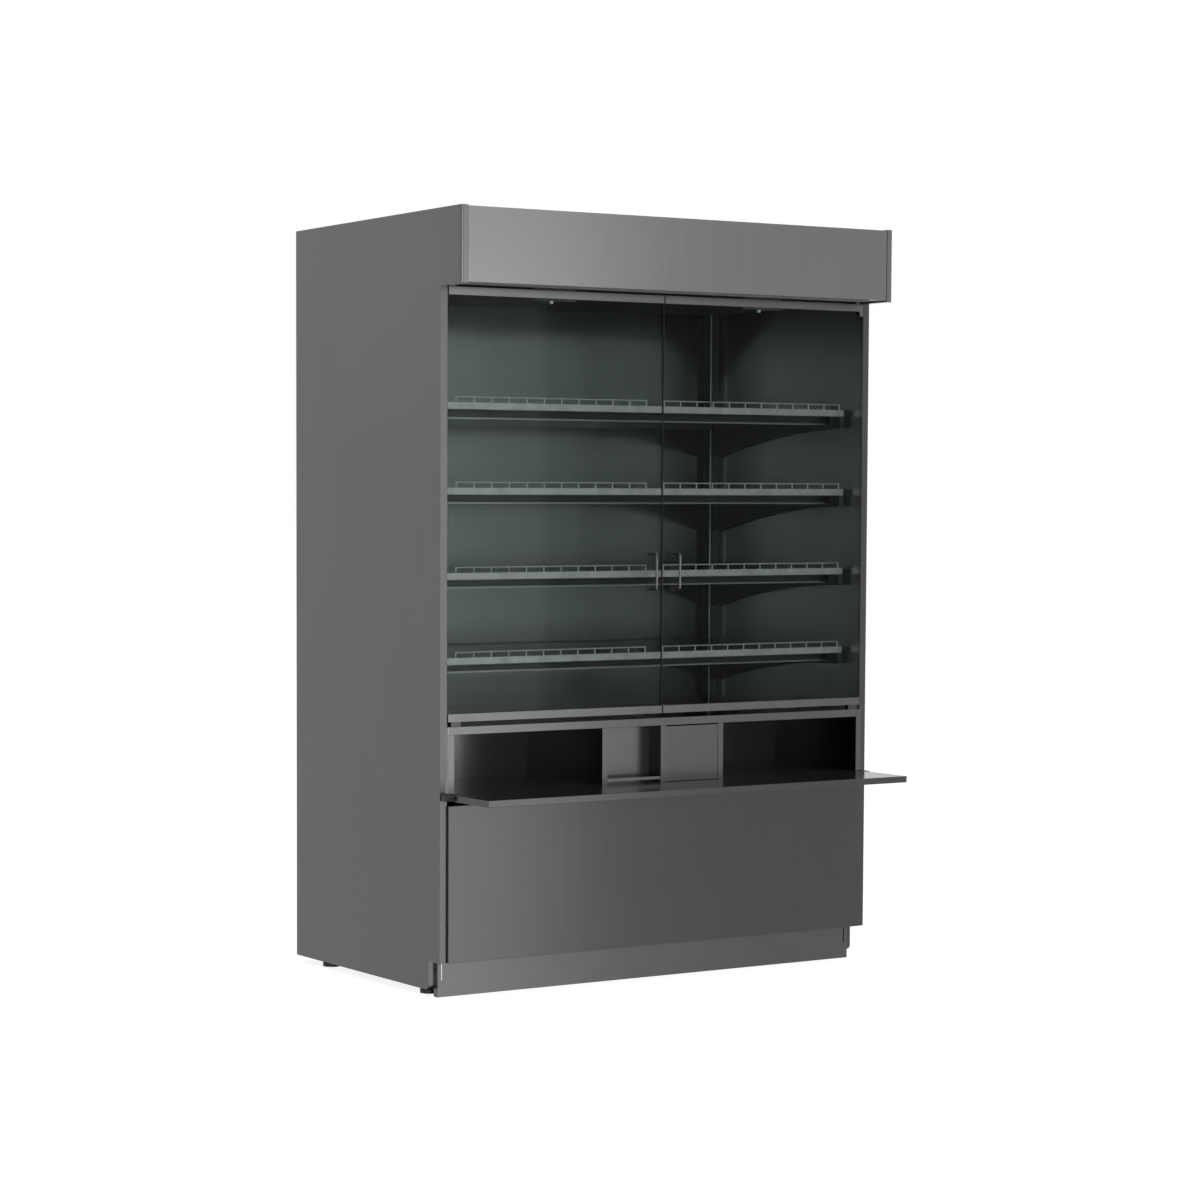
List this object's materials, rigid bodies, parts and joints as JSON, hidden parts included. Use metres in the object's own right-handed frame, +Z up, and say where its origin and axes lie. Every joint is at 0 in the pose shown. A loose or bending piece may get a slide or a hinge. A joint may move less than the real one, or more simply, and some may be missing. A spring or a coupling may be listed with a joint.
{
  "type": "pastry display case",
  "caption": "Tall dark-grey self-service pastry display case with glass doors over shelves, a row of compartments with a fold-up ledge and a push-in waste flap, on a recessed kick plate",
  "frame": {"origin": "on the floor, under the middle of the whole outline", "axes": "+X to the right as seen from the front, +Y to the back, +Z up"},
  "size_m": [1.45, 0.994, 2.1],
  "materials": {
    "grey_board": "dark grey lacquered board, satin",
    "dark_board": "dark grey lacquered board, glossy",
    "grey_metal": "grey powder coat, satin",
    "dark_metal": "dark powder coat, satin",
    "door_metal": "grey anodised, satin",
    "handle_steel": "brushed",
    "black_plastic": "black, matt",
    "glass": "clear, slightly green"
  },
  "bodies": {
    "cabinet": {"base_panel": "grey_board", "bracket_left_1": "dark_metal", "bracket_left_2": "dark_metal", "bracket_left_3": "dark_metal", "bracket_left_4": "dark_metal", "bracket_right_1": "dark_metal", "bracket_right_2": "dark_metal", "bracket_right_3": "dark_metal", "bracket_right_4": "dark_metal", "compartment_back": "grey_board", "compartment_floor": "grey_board", "display_back": "dark_board", "display_deck": "grey_board", "divider_1": "grey_board", "divider_2": "grey_board", "divider_3": "grey_board", "door_catches": "dark_metal", "door_pivots": "black_plastic", "fascia_panel": "grey_board", "kick_plate": "grey_metal", "ledge_knuckles": "black_plastic", "levelling_feet": "black_plastic", "liner_left": "grey_board", "liner_right": "grey_board", "lower_front_panel": "grey_board", "niche_back": "grey_board", "niche_bar": "grey_metal", "outer_back": "grey_board", "price_strip_1": "grey_metal", "price_strip_2": "grey_metal", "price_strip_3": "grey_metal", "price_strip_4": "grey_metal", "roof_panel": "grey_board", "shelf_1": "dark_board", "shelf_2": "dark_board", "shelf_3": "dark_board", "shelf_4": "dark_board", "shelf_rail_1": "dark_metal", "shelf_rail_2": "dark_metal", "shelf_rail_3": "dark_metal", "shelf_rail_4": "dark_metal", "side_panel_left": "grey_board", "side_panel_right": "grey_board", "soffit_panel": "grey_board", "upright_left": "dark_metal", "upright_right": "dark_metal", "waste_bin": "black_plastic", "wire_fence_1": "grey_metal", "wire_fence_2": "grey_metal", "wire_fence_3": "grey_metal", "wire_fence_4": "grey_metal"},
    "left_door": {"door_left_glass": "glass", "door_left_rails": "door_metal", "door_left_handle": "handle_steel"},
    "right_door": {"door_right_glass": "glass", "door_right_rails": "door_metal", "door_right_handle": "handle_steel"},
    "ledge": {"ledge": "grey_board"},
    "waste_flap": {"waste_flap": "grey_board"}
  },
  "joints": [
    {"name": "left_door_hinge", "type": "hinge", "parent": "cabinet", "child": "left_door", "pos_m": [-0.6853, -0.282, 1.31935], "axis": [0, 0, -1], "range_deg": [0, 90]},
    {"name": "right_door_hinge", "type": "hinge", "parent": "cabinet", "child": "right_door", "pos_m": [0.6853, -0.282, 1.31935], "axis": [0, 0, 1], "range_deg": [0, 90]},
    {"name": "ledge_fold", "type": "hinge", "parent": "cabinet", "child": "ledge", "pos_m": [0, -0.30953, 0.543], "axis": [-1, 0, 0], "range_deg": [0, 90]},
    {"name": "flap_swing", "type": "hinge", "parent": "cabinet", "child": "waste_flap", "pos_m": [0.0985, -0.29, 0.70061], "axis": [1, 0, 0], "range_deg": [0, 70]}
  ]
}
